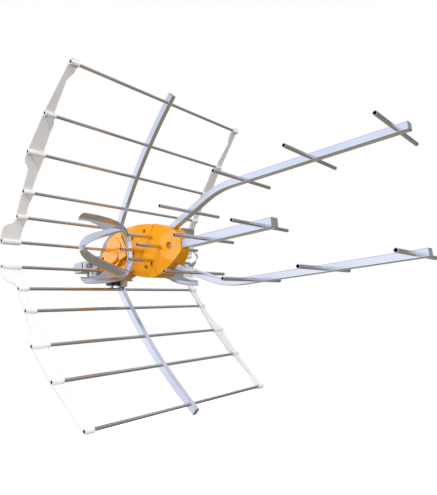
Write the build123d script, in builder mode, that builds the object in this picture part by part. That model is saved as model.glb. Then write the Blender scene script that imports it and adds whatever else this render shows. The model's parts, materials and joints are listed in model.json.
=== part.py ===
from build123d import *
import os
from math import sin, cos, tan, atan2, radians, degrees, sqrt

# UHF television antenna: three booms of directors in front of a plastic
# amplifier housing, a two-part dipole, and a corner reflector of twelve
# rods on two curved spars.
#
# Frame: X along the booms (forward), Y along the rods, Z up. The origin is
# on the axis of the mast that the rear clamp grips, at half the jaws' height.
# Everything in front is symmetric about Y = 0 and about the plane Z = AZ.

os.makedirs("parts", exist_ok=True)

# ------------------------------------------------------------ dimensions
AZ = 5.0              # height of the booms' plane above the clamp's middle

ROD_D = 7.2           # director and housing rods, open tube
ROD_WALL = 0.9
ROD_HALF = 90.0       # half length of every director

BOOM_W = 15.0         # outer booms, along Y
BOOM_H = 13.0         # outer booms, along Z
BOOM_Z = 94.8         # outer booms, from the middle plane
BOOM_END = 771.4      # front end of the outer booms
BEND_X = 404.5        # where the two straight lines of an outer boom meet
BEND_SLOPE = 0.418    # slope of the rear run
BEND_R = 176.0        # radius of the bend on the centre line
BOOM_ROOT = 262.0     # rear end of the outer booms, inside the housing
BOOM_WALL = 1.3

MID_W = 21.0          # middle boom, along Y
MID_H = 18.4          # middle boom, along Z
MID_ROOT = 262.0
MID_END = 524.3

DIRECTORS = ((753.0, 94.8), (609.5, 94.8), (466.0, 94.8), (328.9, 63.2))
MID_DIRECTORS = (495.6, 361.8)
HOUSING_RODS = ((232.2, 25.5), (258.3, 0.0), (207.1, 0.0), (232.2, -25.5))

# reflector rods: x, distance from the middle plane, half length
REFLECTOR = (
    (288.3, 319.45, 250.3),
    (216.5, 243.25, 262.0),
    (167.0, 181.35, 269.6),
    (123.3, 116.00, 255.3),
    (97.0, 71.00, 254.8),
    (72.5, 25.20, 274.6),
)
REF_D = 6.8
REF_WALL = 0.9

# spar: a rectangular tube bent to one arc
SPAR_CX, SPAR_CZ = 1016.6, -440.3     # centre of the arc, from the middle plane
SPAR_R = 1054.1                       # radius of the centre line
SPAR_D = 15.0                         # depth, in the plane of the arc
SPAR_W = 11.0                         # width, along Y
SPAR_WALL = 1.3
SPAR_TOP = 132.8                      # end angles, degrees
SPAR_BASE = 154.3

SLEEVE_D = 10.6
STRIP_T = 2.4
STRIP_BACK = 2.2      # how far the ribbon's middle lies behind the rods

# dipole halves
DIP_X = 187.0         # front edge of the bow's face
DIP_DROP = 7.4        # how far the inner edge lies behind the outer
DIP_FACE = 12.4       # width of the face, seen from the front
DIP_T = 3.2

# mast clamp
MAST_R = 20.0         # mast that the saddles are made for
JAW_H = 24.0          # height of the jaws
JAW_HALF = 38.0       # half width of the jaws, along Y
BOLT_Y = 30.0         # bolts from the middle plane
BOLT_D = 6.0
GAP = 5.0             # space between the closed jaws


def hx(x, z):
    return (x, z + AZ)


# ------------------------------------------------------------ booms
rise_x = BEND_X - BOOM_ROOT
root_z = BOOM_Z - BEND_SLOPE * rise_x
run = degrees(atan2(BEND_SLOPE, 1.0))

with BuildPart() as boom_form:
    with BuildLine(Plane.XZ) as line:
        FilletPolyline(
            hx(BOOM_ROOT, root_z), hx(BEND_X, BOOM_Z), hx(BOOM_END - 1.4, BOOM_Z),
            radius=BEND_R)
    with BuildSketch(Plane(origin=line.wire() @ 0, x_dir=(0, 1, 0), z_dir=line.wire() % 0)):
        RectangleRounded(BOOM_W, BOOM_H, 1.2)
    sweep(path=line.wire())

with BuildPart() as lower_boom_form:
    mirror(boom_form.part, about=Plane.XY.offset(AZ))

with BuildPart() as boom_bore:
    with BuildLine(Plane.XZ) as line:
        FilletPolyline(
            hx(BOOM_ROOT, root_z), hx(BEND_X, BOOM_Z), hx(BOOM_END - 1.4, BOOM_Z),
            radius=BEND_R)
    with BuildSketch(Plane(origin=line.wire() @ 0, x_dir=(0, 1, 0), z_dir=line.wire() % 0)):
        RectangleRounded(BOOM_W - 2 * BOOM_WALL, BOOM_H - 2 * BOOM_WALL, 0.6)
    sweep(path=line.wire())

with BuildPart() as upper_boom:
    add(boom_form.part)
    add(boom_bore.part, mode=Mode.SUBTRACT)
    for x, z in DIRECTORS:
        with BuildSketch(Plane.XZ):
            with Locations(hx(x, z)):
                Circle(ROD_D / 2)
        extrude(amount=BOOM_W, both=True, mode=Mode.SUBTRACT)
upper_boom.part.label = "upper_boom"

with BuildPart() as lower_boom:
    mirror(upper_boom.part, about=Plane.XY.offset(AZ))
lower_boom.part.label = "lower_boom"

with BuildPart() as middle_form:
    with BuildSketch(Plane.YZ.offset(MID_ROOT)):
        with Locations((0, AZ)):
            RectangleRounded(MID_W, MID_H, 1.4)
    extrude(amount=MID_END - 1.4 - MID_ROOT)

with BuildPart() as middle_boom:
    add(middle_form.part)
    with BuildSketch(Plane.YZ.offset(MID_ROOT)):
        with Locations((0, AZ)):
            RectangleRounded(MID_W - 2 * BOOM_WALL, MID_H - 2 * BOOM_WALL, 0.7)
    extrude(amount=MID_END - 1.4 - MID_ROOT, mode=Mode.SUBTRACT)
    for x in MID_DIRECTORS:
        with BuildSketch(Plane.XZ):
            with Locations(hx(x, 0)):
                Circle(ROD_D / 2)
        extrude(amount=MID_W, both=True, mode=Mode.SUBTRACT)
middle_boom.part.label = "middle_boom"

# end plugs: a flange flush with the tube and a hollow spigot inside it
with BuildPart() as outer_boom_plugs:
    with BuildSketch(Plane.YZ.offset(BOOM_END - 1.4)):
        with Locations((0, AZ + BOOM_Z)):
            RectangleRounded(BOOM_W, BOOM_H, 1.2)
    extrude(amount=1.4)
    chamfer(outer_boom_plugs.faces().sort_by(Axis.X)[-1].edges(), 0.4)
    with BuildSketch(Plane.YZ.offset(BOOM_END - 11.0)):
        with Locations((0, AZ + BOOM_Z)):
            RectangleRounded(BOOM_W - 2 * BOOM_WALL, BOOM_H - 2 * BOOM_WALL, 0.6)
            RectangleRounded(BOOM_W - 2 * BOOM_WALL - 3, BOOM_H - 2 * BOOM_WALL - 3, 0.4, mode=Mode.SUBTRACT)
    extrude(amount=9.6)
    mirror(about=Plane.XY.offset(AZ))
outer_boom_plugs.part.label = "outer_boom_plugs"

with BuildPart() as middle_boom_plug:
    with BuildSketch(Plane.YZ.offset(MID_END - 1.4)):
        with Locations((0, AZ)):
            RectangleRounded(MID_W, MID_H, 1.4)
    extrude(amount=1.4)
    chamfer(middle_boom_plug.faces().sort_by(Axis.X)[-1].edges(), 0.4)
    with BuildSketch(Plane.YZ.offset(MID_END - 12.0)):
        with Locations((0, AZ)):
            RectangleRounded(MID_W - 2 * BOOM_WALL, MID_H - 2 * BOOM_WALL, 0.7)
            RectangleRounded(MID_W - 2 * BOOM_WALL - 3, MID_H - 2 * BOOM_WALL - 3, 0.5, mode=Mode.SUBTRACT)
    extrude(amount=10.6)
middle_boom_plug.part.label = "middle_boom_plug"

# ------------------------------------------------------------ rods
rods = {}


def tube_along_y(name, x, z, half, d, wall):
    with BuildPart() as tube:
        with BuildSketch(Plane.XZ):
            with Locations(hx(x, z)):
                Circle(d / 2)
                Circle(d / 2 - wall, mode=Mode.SUBTRACT)
        extrude(amount=half, both=True)
        chamfer(tube.edges().filter_by(GeomType.CIRCLE).sort_by(SortBy.RADIUS)[-2:], 0.25)
    tube.part.label = name
    rods[name] = tube


for i, (x, z) in enumerate(DIRECTORS):
    tube_along_y("upper_director_%d" % (i + 1), x, z, ROD_HALF, ROD_D, ROD_WALL)
    tube_along_y("lower_director_%d" % (i + 1), x, -z, ROD_HALF, ROD_D, ROD_WALL)
for name, places in (("middle_directors", [(x, 0.0) for x in MID_DIRECTORS]), ("housing_rods", HOUSING_RODS)):
    with BuildPart() as tubes:
        with BuildSketch(Plane.XZ):
            with Locations(*[hx(x, z) for x, z in places]):
                Circle(ROD_D / 2)
                Circle(ROD_D / 2 - ROD_WALL, mode=Mode.SUBTRACT)
        extrude(amount=ROD_HALF, both=True)
    tubes.part.label = name
    rods[name] = tubes
for i, (x, z, half) in enumerate(REFLECTOR):
    tube_along_y("upper_reflector_rod_%d" % (i + 1), x, z, half, REF_D, REF_WALL)
    tube_along_y("lower_reflector_rod_%d" % (i + 1), x, -z, half, REF_D, REF_WALL)

# ------------------------------------------------------------ spars


def on_arc(r, deg):
    return hx(SPAR_CX + r * cos(radians(deg)), SPAR_CZ + r * sin(radians(deg)))


mid_deg = (SPAR_TOP + SPAR_BASE) / 2
with BuildPart() as spar_form:
    with BuildLine(Plane.XZ) as arc:
        ThreePointArc(on_arc(SPAR_R, SPAR_BASE), on_arc(SPAR_R, mid_deg), on_arc(SPAR_R, SPAR_TOP))
    with BuildSketch(Plane(origin=arc.wire() @ 0, x_dir=(0, 1, 0), z_dir=arc.wire() % 0)):
        RectangleRounded(SPAR_W, SPAR_D, 1.0)
    sweep(path=arc.wire())

with BuildPart() as lower_spar_form:
    mirror(spar_form.part, about=Plane.XY.offset(AZ))

with BuildPart() as spar_bore:
    with BuildLine(Plane.XZ) as arc:
        ThreePointArc(on_arc(SPAR_R, SPAR_BASE), on_arc(SPAR_R, mid_deg), on_arc(SPAR_R, SPAR_TOP))
    with BuildSketch(Plane(origin=arc.wire() @ 0, x_dir=(0, 1, 0), z_dir=arc.wire() % 0)):
        RectangleRounded(SPAR_W - 2 * SPAR_WALL, SPAR_D - 2 * SPAR_WALL, 0.5)
    sweep(path=arc.wire())

with BuildPart() as upper_spar:
    add(spar_form.part)
    add(spar_bore.part, mode=Mode.SUBTRACT)
    for x, z, half in REFLECTOR:
        with BuildSketch(Plane.XZ):
            with Locations(hx(x, z)):
                Circle(REF_D / 2)
        extrude(amount=SPAR_W, both=True, mode=Mode.SUBTRACT)
upper_spar.part.label = "upper_spar"

with BuildPart() as lower_spar:
    mirror(upper_spar.part, about=Plane.XY.offset(AZ))
lower_spar.part.label = "lower_spar"

top = on_arc(SPAR_R, SPAR_TOP)
out_dir = (sin(radians(SPAR_TOP)), 0, -cos(radians(SPAR_TOP)))
with BuildPart() as spar_plugs:
    with BuildSketch(Plane(origin=(top[0], 0, top[1]), x_dir=(0, 1, 0), z_dir=out_dir)):
        RectangleRounded(SPAR_W, SPAR_D, 1.0)
    extrude(amount=1.4)
    with BuildSketch(Plane(origin=(top[0], 0, top[1]), x_dir=(0, 1, 0), z_dir=out_dir)):
        RectangleRounded(SPAR_W - 2 * SPAR_WALL - 0.2, SPAR_D - 2 * SPAR_WALL - 0.3, 0.5)
    extrude(amount=-8)
    mirror(about=Plane.XY.offset(AZ))
spar_plugs.part.label = "spar_plugs"

# ------------------------------------------------------------ side strips
# outline of a strip seen from the front: (distance along Y, height), outer
# edge from the top down, then the inner edge back up
R = REFLECTOR


def at(i, t):
    return R[i][1] + t * (R[i + 1][1] - R[i][1])


OUTER = [
    (250.6, R[0][1] + 6.0), (251.8, at(0, 0.0)), (262.6, at(1, 0.0)), (269.4, at(2, 0.0)),
    (269.9, at(2, 0.14)), (267.5, at(2, 0.24)), (261.0, at(2, 0.32)), (257.6, at(2, 0.40)),
    (256.8, at(2, 0.70)), (256.8, at(3, 0.0)), (256.4, at(3, 0.90)), (255.4, at(4, 0.06)),
    (257.0, at(4, 0.18)), (262.0, at(4, 0.27)), (269.0, at(4, 0.32)), (274.6, at(4, 0.39)),
    (277.0, at(4, 0.50)), (277.2, at(4, 0.90)), (276.4, R[5][1] - 5.0),
]
INNER = [
    (235.6, R[5][1] - 5.0), (237.6, at(4, 0.9)), (236.4, at(4, 0.1)), (237.0, at(3, 0.5)),
    (236.0, at(3, 0.05)), (238.6, at(2, 0.93)), (236.6, at(2, 0.47)), (236.0, at(2, 0.05)),
    (237.6, at(1, 0.92)), (237.6, at(1, 0.4)), (236.4, at(1, 0.22)), (239.0, at(1, 0.04)),
    (243.0, at(0, 0.94)), (243.6, at(0, 0.41)), (243.6, at(0, 0.31)), (239.6, at(0, 0.24)),
    (235.6, at(0, 0.16)), (233.6, at(0, 0.03)), (233.6, R[0][1] + 6.0),
]

# outer and inner end of each sleeve
SLEEVES = ((250.2, 233.4), (261.9, 239.6), (269.5, 234.0), (255.2, 234.0), (254.7, 234.5), (274.5, 236.0))


def unit(a, b):
    d = sqrt((b[0] - a[0]) ** 2 + (b[1] - a[1]) ** 2)
    return ((b[0] - a[0]) / d, (b[1] - a[1]) / d)


# the ribbon's mid line in side view runs behind the rods, bending at each one
mid_line = []
for i in range(6):
    a = R[max(i - 1, 0)]
    b = R[min(i + 1, 5)]
    ux, uz = unit(a, b)
    # ux, uz points down the strip; its rear normal is (uz, -ux)
    mid_line.append((R[i][0] + uz * STRIP_BACK, R[i][1] - ux * STRIP_BACK))
ux, uz = unit(R[0], R[1])
mid_line.insert(0, (mid_line[0][0] - ux * 7, mid_line[0][1] - uz * 7))
ux, uz = unit(R[4], R[5])
mid_line.append((mid_line[-1][0] + ux * 6, mid_line[-1][1] + uz * 6))

gussets = []
for i in (1, 2, 3, 4):
    x, z, half = R[i]
    outer, inner = SLEEVES[i]
    ux, uz = unit(R[i], R[i + 1])
    nx, nz = -uz, ux          # front normal of the ribbon
    length = 0.40 * sqrt((R[i + 1][0] - x) ** 2 + (R[i + 1][1] - z) ** 2)
    near = inner + 1.5
    far = outer - 5.0
    with BuildPart() as gusset:
        with BuildSketch(Plane.XZ.offset(near)):
            with BuildLine():
                Polyline(
                    hx(x + nx * 4.6, z + nz * 4.6),
                    hx(x + ux * length - nx * 1.2, z + uz * length - nz * 1.2),
                    hx(x - nx * 2.0, z - nz * 2.0), close=True)
            make_face()
        extrude(amount=far - near)
        with BuildSketch(Plane.YZ):
            with BuildLine():
                Polyline((-near, z + AZ + 6), (-far, z + AZ + 6), (-far, z + AZ - 2),
                         (-near - 1.0, z + uz * length + AZ), (-near, z + uz * length + AZ), close=True)
            make_face()
        extrude(amount=400.0, mode=Mode.INTERSECT)
    gussets.append(gusset)

with BuildPart() as strip_upper_right:
    with BuildSketch(Plane.XZ.offset(225.0)):
        with BuildLine():
            Polyline(*[hx(*p) for p in mid_line])
            offset(amount=STRIP_T / 2, side=Side.BOTH, closed=True)
        make_face()
    extrude(amount=60.0)
    with BuildSketch(Plane.YZ):
        with BuildLine():
            Polyline(*[(-y, z + AZ) for y, z in OUTER + INNER], close=True)
        make_face()
    extrude(amount=400.0, mode=Mode.INTERSECT)
    # sleeves round the rod ends
    for (x, z, half), (outer, inner) in zip(R, SLEEVES):
        with BuildSketch(Plane.XZ.offset(inner)):
            with Locations(hx(x, z)):
                Circle(SLEEVE_D / 2)
        extrude(amount=outer - inner)
    # sloping gussets from the front of a sleeve down to the ribbon
    for gusset in gussets:
        add(gusset.part)
    # bores for the rods
    for x, z, half in R:
        with BuildSketch(Plane.XZ.offset(225.0)):
            with Locations(hx(x, z)):
                Circle(REF_D / 2)
        extrude(amount=60.0, mode=Mode.SUBTRACT)
strip_upper_right.part.label = "strip_upper_right"

with BuildPart() as strip_upper_left:
    mirror(strip_upper_right.part, about=Plane.XZ)
strip_upper_left.part.label = "strip_upper_left"
with BuildPart() as strip_lower_right:
    mirror(strip_upper_right.part, about=Plane.XY.offset(AZ))
strip_lower_right.part.label = "strip_lower_right"
with BuildPart() as strip_lower_left:
    mirror(strip_lower_right.part, about=Plane.XZ)
strip_lower_left.part.label = "strip_lower_left"

# ------------------------------------------------------------ housing


def both(points):
    """Closed outline from its upper half, mirrored about the booms' plane."""
    return [(x, AZ + z) for x, z in points] + [(x, AZ - z) for x, z in reversed(points)]


def shifted(points):
    return [(x, AZ + z) for x, z in points]


def disc_cone(side, inset):
    """Very flat cone whose blunt tip is the round flat on one side of the nose."""
    slope = tan(radians(DISC_SLOPE))
    nx, ny = sin(radians(FACE_TILT)), -side * cos(radians(FACE_TILT))
    out = 3.0 - inset
    with BuildPart() as cone:
        with Locations(Plane(origin=(DISC_X + nx * out, -side * DISC_Y + ny * out, AZ), z_dir=(nx, ny, 0))):
            Cone(DISC_R + 120.0 / slope, DISC_R - 3.0 / slope, 123.0, align=(Align.CENTER, Align.CENTER, Align.MAX))
    return cone.part


def shell_form(inset):
    """Closed outer form of the front half of the housing, made smaller by inset."""
    with BuildPart() as form:
        with BuildSketch(Plane.XZ):
            with BuildLine():
                Polyline(*shifted(SHELL_TOP + SHELL_BOTTOM), close=True)
            make_face()
            if inset:
                offset(amount=-inset, kind=Kind.INTERSECTION)
        extrude(amount=60, both=True)
        with BuildSketch(Plane.XY.offset(AZ)):
            with BuildLine():
                Polyline(*(SHELL_PLAN + [(x, -y) for x, y in reversed(SHELL_PLAN)]), close=True)
            make_face()
            if inset:
                offset(amount=-inset, kind=Kind.INTERSECTION)
        extrude(amount=90, both=True, mode=Mode.INTERSECT)
        with BuildSketch(Plane.YZ):
            with BuildLine():
                a, b = SHELL_SECTION
                pts = [(a[0], a[1]), (b[0], b[1]), (-b[0], b[1]), (-a[0], a[1]),
                       (-a[0], -a[1]), (-b[0], -b[1]), (b[0], -b[1]), (a[0], -a[1])]
                Polyline(*[(y, z + AZ) for y, z in pts], close=True)
            make_face()
            if inset:
                offset(amount=-inset, kind=Kind.INTERSECTION)
        extrude(amount=400, mode=Mode.INTERSECT)
        for side in (1, -1):
            add(disc_cone(side, inset), mode=Mode.INTERSECT)
    return form.part


SHELL_TOP = [(305, 12.5), (302.5, 18), (298, 24), (291, 31), (283, 36.8), (275, 41.4), (267, 45.2), (259, 48.4), (251, 51),
             (236, 55.1), (221, 58.5), (205, 61.1), (192, 62.8), (180, 63.5), (169.3, 47.9)]
SHELL_BOTTOM = [(169.3, -44), (174, -48.5), (180, -51.8), (188, -54.8), (198, -57.6), (209, -59.8), (221, -61.2), (232, -61.2),
                (242, -59.0), (251, -55.2), (259, -51.2), (267, -46.8), (275, -41.6), (283, -35.8), (291, -29), (298, -22.2), (302.5, -17.2), (305, -12.5)]
SHELL_PLAN = [(305, 12.8), (258, 26.5), (207, 33.7), (189, 35.2), (169.3, 35.2)]
FACE_TILT = 16.25     # the flat of the nose, from the plane of symmetry
DISC_X, DISC_Y = 286.0, 18.34     # middle of the round flat on each side of the nose
DISC_R = 31.5
DISC_SLOPE = 11.0     # the sides fall away from the flat at this angle
SHELL_SECTION = ((36.5, 26.0), (24.0, 63.0))     # corners, y and height
SEAM = [(243, 80), (241, 52), (238.5, 27), (252.5, 2), (252.5, -2), (239.5, -20.5), (239.5, -30), (234, -36), (244, -55), (258, -80)]
SEAM_GAP = (0.6, 0.6, 0.6, 0.6, 0.6, 0.6, 1.2, 2.4, 2.4, 2.4)
CAP_WALL = 2.4
STEP = 1.5            # the rear moulding lies this far inside the cap's surface

SCREW_X, SCREW_Z, SCREW_Y = 213.0, (42.0, -36.5), 18.5    # seat of the four shell screws
NOSE_X, NOSE_Y = 278.0, 14.0                     # seat of the two nose screws

cap_outer = shell_form(0)
cap_inner = shell_form(CAP_WALL)
mid_outer = shell_form(STEP)
mid_inner = shell_form(STEP + 2.5)

with BuildPart() as ahead_of_seam:
    with BuildSketch(Plane.XZ):
        with BuildLine():
            Polyline(*shifted(SEAM + [(330, -80), (330, 80)]), close=True)
        make_face()
    extrude(amount=60, both=True)

# the mid shell ends a little behind the seam, so the seam is an open joint
with BuildPart() as ahead_of_mid:
    with BuildSketch(Plane.XZ):
        with BuildLine():
            Polyline(*shifted([(x - g, z) for (x, z), g in zip(SEAM, SEAM_GAP)] + [(330, -80), (330, 80)]), close=True)
        make_face()
    extrude(amount=60, both=True)

# shallow band that runs up beside the seam
band_floor = shell_form(STEP + 1.7)
with BuildPart() as band_cut:
    with BuildSketch(Plane.XZ):
        with BuildLine():
            Polyline(*shifted([(230.2, 31.5), (236.0, 53.0), (240.0, 70.0), (247.0, 70.0), (241.0, 52.0), (239.0, 31.5)]), close=True)
        make_face()
    extrude(amount=60, both=True)
    add(band_floor, mode=Mode.SUBTRACT)

with BuildPart() as cap_bosses:
    for side in (1, -1):
        with BuildSketch(Plane.XZ.offset(side * 11.0)):
            with Locations(hx(NOSE_X, 0)):
                Circle(9.6)
        extrude(amount=side * 12.0)
        with BuildSketch(Plane.XZ.offset(side * 18.0)):
            with Locations(hx(*HOUSING_RODS[1])):
                Circle(5.6)
        extrude(amount=side * 11.0)
    add(cap_outer, mode=Mode.INTERSECT)

with BuildPart() as front_cap:
    add(cap_outer)
    add(cap_inner, mode=Mode.SUBTRACT)
    add(cap_bosses.part)
    # short collar round the rod that leaves the cap
    for side in (1, -1):
        with BuildSketch(Plane.XZ.offset(side * 21.0)):
            with Locations(hx(*HOUSING_RODS[1])):
                Circle(5.0)
        extrude(amount=side * 6.8)
    add(ahead_of_seam.part, mode=Mode.INTERSECT)
    # openings for the three booms
    add(boom_form.part, mode=Mode.SUBTRACT)
    add(lower_boom_form.part, mode=Mode.SUBTRACT)
    add(middle_form.part, mode=Mode.SUBTRACT)
    with BuildSketch(Plane.XZ):
        with Locations(hx(*HOUSING_RODS[1])):
            Circle(ROD_D / 2)
    extrude(amount=60, both=True, mode=Mode.SUBTRACT)
    for side in (1, -1):
        with BuildSketch(Plane.XZ.offset(side * NOSE_Y)):
            with Locations(hx(NOSE_X, 0)):
                Circle(7.2)
        extrude(amount=side * 20.0, mode=Mode.SUBTRACT)
        with BuildSketch(Plane.XZ):
            with Locations(hx(NOSE_X, 0)):
                Circle(2.0)
        extrude(amount=side * 30.0, mode=Mode.SUBTRACT)
    # slot under the lower boom's exit
    with BuildSketch(Plane.XZ):
        with BuildLine():
            Polyline(*shifted([(246, -48.5), (262, -42.0), (262, -50), (246, -56)]), close=True)
        make_face()
    extrude(amount=17.0, both=True, mode=Mode.SUBTRACT)
front_cap.part.label = "front_cap"

with BuildPart() as mid_bosses:
    for side in (1, -1):
        for z in SCREW_Z:
            with BuildSketch(Plane.XZ.offset(side * 12.0)):
                with Locations(hx(SCREW_X, z)):
                    Circle(7.4)
            extrude(amount=side * 30.0)
        with BuildSketch(Plane.XZ.offset(side * 22.0)):
            with Locations(*[hx(*HOUSING_RODS[k]) for k in (0, 2, 3)]):
                Circle(5.6)
        extrude(amount=side * 14.0)
    add(mid_outer, mode=Mode.INTERSECT)

with BuildPart() as tongue:
    with BuildSketch(Plane.XZ):
        with BuildLine():
            Polyline(*shifted([(139.4, 50.0), (139.4, 60.8), (153.0, 61.7), (181.0, 62.0), (181.0, 52.0), (171.0, 46.0), (160.0, 46.0)]), close=True)
        make_face()
    extrude(amount=24.0, both=True)
    with BuildSketch(Plane.XZ):
        with BuildLine():
            Polyline(*shifted([(130, 40), (130, 58.2), (153.0, 59.2), (190.0, 59.6), (190.0, 40)]), close=True)
        make_face()
    extrude(amount=21.4, both=True, mode=Mode.SUBTRACT)

with BuildPart() as mid_shell:
    add(mid_outer)
    add(mid_inner, mode=Mode.SUBTRACT)
    add(mid_bosses.part)
    add(ahead_of_mid.part, mode=Mode.SUBTRACT)
    add(band_cut.part, mode=Mode.SUBTRACT)
    # short collars round the rods
    for side in (1, -1):
        with BuildSketch(Plane.XZ.offset(side * 24.0)):
            with Locations(hx(*HOUSING_RODS[0]), hx(*HOUSING_RODS[3])):
                Circle(4.9)
        extrude(amount=side * 5.6)
        with BuildSketch(Plane.XZ.offset(side * 27.0)):
            with Locations(hx(*HOUSING_RODS[2])):
                Circle(5.2)
        extrude(amount=side * 7.4)
    # recesses for the screws, and the shafts of the screws below them
    for side in (1, -1):
        for z in SCREW_Z:
            with BuildSketch(Plane.XZ.offset(side * SCREW_Y)):
                with Locations(hx(SCREW_X, z)):
                    Circle(4.8)
            extrude(amount=side * 20.0, mode=Mode.SUBTRACT)
            with BuildSketch(Plane.XZ.offset(side * 14.0)):
                with Locations(hx(SCREW_X, z)):
                    Circle(2.0)
            extrude(amount=side * 20.0, mode=Mode.SUBTRACT)
    with BuildSketch(Plane.XZ):
        with Locations(*[hx(*HOUSING_RODS[k]) for k in (0, 2, 3)]):
            Circle(ROD_D / 2)
    extrude(amount=60, both=True, mode=Mode.SUBTRACT)
    # rear opening, where the dipole carrier enters
    with BuildSketch(Plane.YZ.offset(150)):
        with Locations((0, AZ)):
            RectangleRounded(33.6, 88, 3)
    extrude(amount=30, mode=Mode.SUBTRACT)
    # tongue over the carrier, back to the rear shell
    add(tongue.part)
    # drain and latch openings near the rear edge, and the pocket beside the seam
    for side in (1, -1):
        with BuildSketch(Plane.XZ.offset(side * 24.0)):
            with BuildLine():
                Polyline(*shifted([(175.5, 28.5), (181.5, 28.5), (182.5, 36.5), (176.5, 36.5)]), close=True)
            make_face()
            with BuildLine():
                Polyline(*shifted([(176.0, -4.0), (181.5, -4.0), (181.5, 3.0), (176.0, 3.0)]), close=True)
            make_face()
            with BuildLine():
                Polyline(*shifted([(173.8, -43.0), (178.0, -44.5), (178.5, -38.5), (173.8, -37.5)]), close=True)
            make_face()
            with BuildLine():
                Polyline(*shifted([(226.0, -29.0), (234.8, -29.0), (239.6, -41.5), (229.0, -41.5)]), close=True)
            make_face()
        extrude(amount=side * 20.0, mode=Mode.SUBTRACT)
        with BuildSketch(Plane.XZ.offset(side * 18.0)):
            with Locations(hx(237.3, 46.9)):
                Circle(1.7)
        extrude(amount=side * 30.0, mode=Mode.SUBTRACT)
    # small openings for the lower and upper ends of the rear edge
    add(boom_form.part, mode=Mode.SUBTRACT)
    add(lower_boom_form.part, mode=Mode.SUBTRACT)
    add(middle_form.part, mode=Mode.SUBTRACT)
mid_shell.part.label = "mid_shell"

# rear shell, a box open at the back, with the slanted back closed by the plate
REAR_SIDE = [
    (139, 60), (114, 54), (103, 52.5), (86, 38), (76.5, 25), (66, 18.4), (57.0, 11.6), (55, 4.8), (55, -8), (58, -17),
    (72, -24), (84, -37), (95, -50), (112, -48), (126, -44), (139, -38)]
# below and in front of the oval boss the sides step in to the neck
SIDE_STEP = [(140, 29.7), (136.2, 29.7), (135.4, 12), (133.4, 0), (129, -9), (122, -16.2), (112, -19.5), (98, -19.5), (84, -26), (84, -70), (145, -70), (145, 29.7)]
NECK_HALF = 18.4
REAR_HALF = 28.5
PLATE_SIDE = [
    (108, 57), (94, 56), (72, 40.5), (59, 24), (55, 12), (52, 0), (52, -16), (55, -24),
    (70, -40), (87, -50.6), (100, -52.2), (108, -50.4)]
PLATE_HALF = 28.0
SOCKET = [(54.5, -4), (54.5, 14), (66, 32), (78, 45), (99, 45), (94, 24), (88, -4)]
CARRIER_HALF = 15.8
REAR_SCREW = (66.4, 2.6)
# terminal tab of a dipole half, seen from above
TAB = [(184.0, -49.0), (184.0, -44.5), (164.3, -40.4), (164.3, -12.0), (162.5, -12.0),
       (162.5, -42.0), (182.0, -46.3), (182.0, -49.0)]
CARRIER_Z = 37.0

with BuildPart() as rear_form:
    with BuildSketch(Plane.XZ):
        with BuildLine():
            Polyline(*shifted(REAR_SIDE), close=True)
        make_face()
    extrude(amount=REAR_HALF, both=True)
    chamfer(rear_form.edges().filter_by(lambda e: abs(abs(e.center().Y) - REAR_HALF) < 0.01
                                        and e.center().X < 138), 2.0)
    for side in (1, -1):
        with BuildSketch(Plane.XZ.offset(side * NECK_HALF)):
            with BuildLine():
                Polyline(*shifted(SIDE_STEP), close=True)
            make_face()
        extrude(amount=side * 30.0, mode=Mode.SUBTRACT)

with BuildPart() as rear_cavity:
    with BuildSketch(Plane.XZ):
        with BuildLine():
            Polyline(*shifted(REAR_SIDE), close=True)
        make_face()
        offset(amount=-2.4, kind=Kind.INTERSECTION)
    extrude(amount=REAR_HALF - 2.4, both=True)
    for side in (1, -1):
        with BuildSketch(Plane.XZ.offset(side * (NECK_HALF - 2.4))):
            with BuildLine():
                Polyline(*shifted(SIDE_STEP), close=True)
            make_face()
            offset(amount=2.4, kind=Kind.INTERSECTION)
        extrude(amount=side * 30.0, mode=Mode.SUBTRACT)

with BuildPart() as reflector_holes:
    with BuildSketch(Plane.XZ):
        with Locations(*[hx(R[5][0], R[5][1]), hx(R[5][0], -R[5][1])]):
            Circle(REF_D / 2)
    extrude(amount=60, both=True)

bosses = []
for side in (1, -1):
    with BuildPart() as boss:
        with BuildSketch(Plane(origin=(107.5, -side * (REAR_HALF - 1.0), AZ - 2.2), x_dir=(0.978, 0, 0.208), z_dir=(0, -side, 0))):
            Ellipse(24.8, 12.6)
        extrude(amount=6.6)
        fillet(boss.faces().sort_by(Axis.Y)[0 if side > 0 else -1].edges(), 5.0)
    bosses.append(boss)

with BuildPart() as field_pads:
    for side in (1, -1):
        with BuildSketch(Plane.YZ.offset(74)):
            with BuildLine():
                Polyline(*[(-side * y, z + AZ) for y, z in ((26.5, 50), (30.2, 47), (30.2, 20.5), (28.0, 14.5), (26.5, 14.5))], close=True)
            make_face()
        extrude(amount=62.0)
    with BuildSketch(Plane.XZ):
        with BuildLine():
            Polyline(*shifted([(79, 14), (90, 41), (104, 50), (119, 52), (136.0, 27), (133.5, 14)]), close=True)
        make_face()
    extrude(amount=40, both=True, mode=Mode.INTERSECT)

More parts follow.
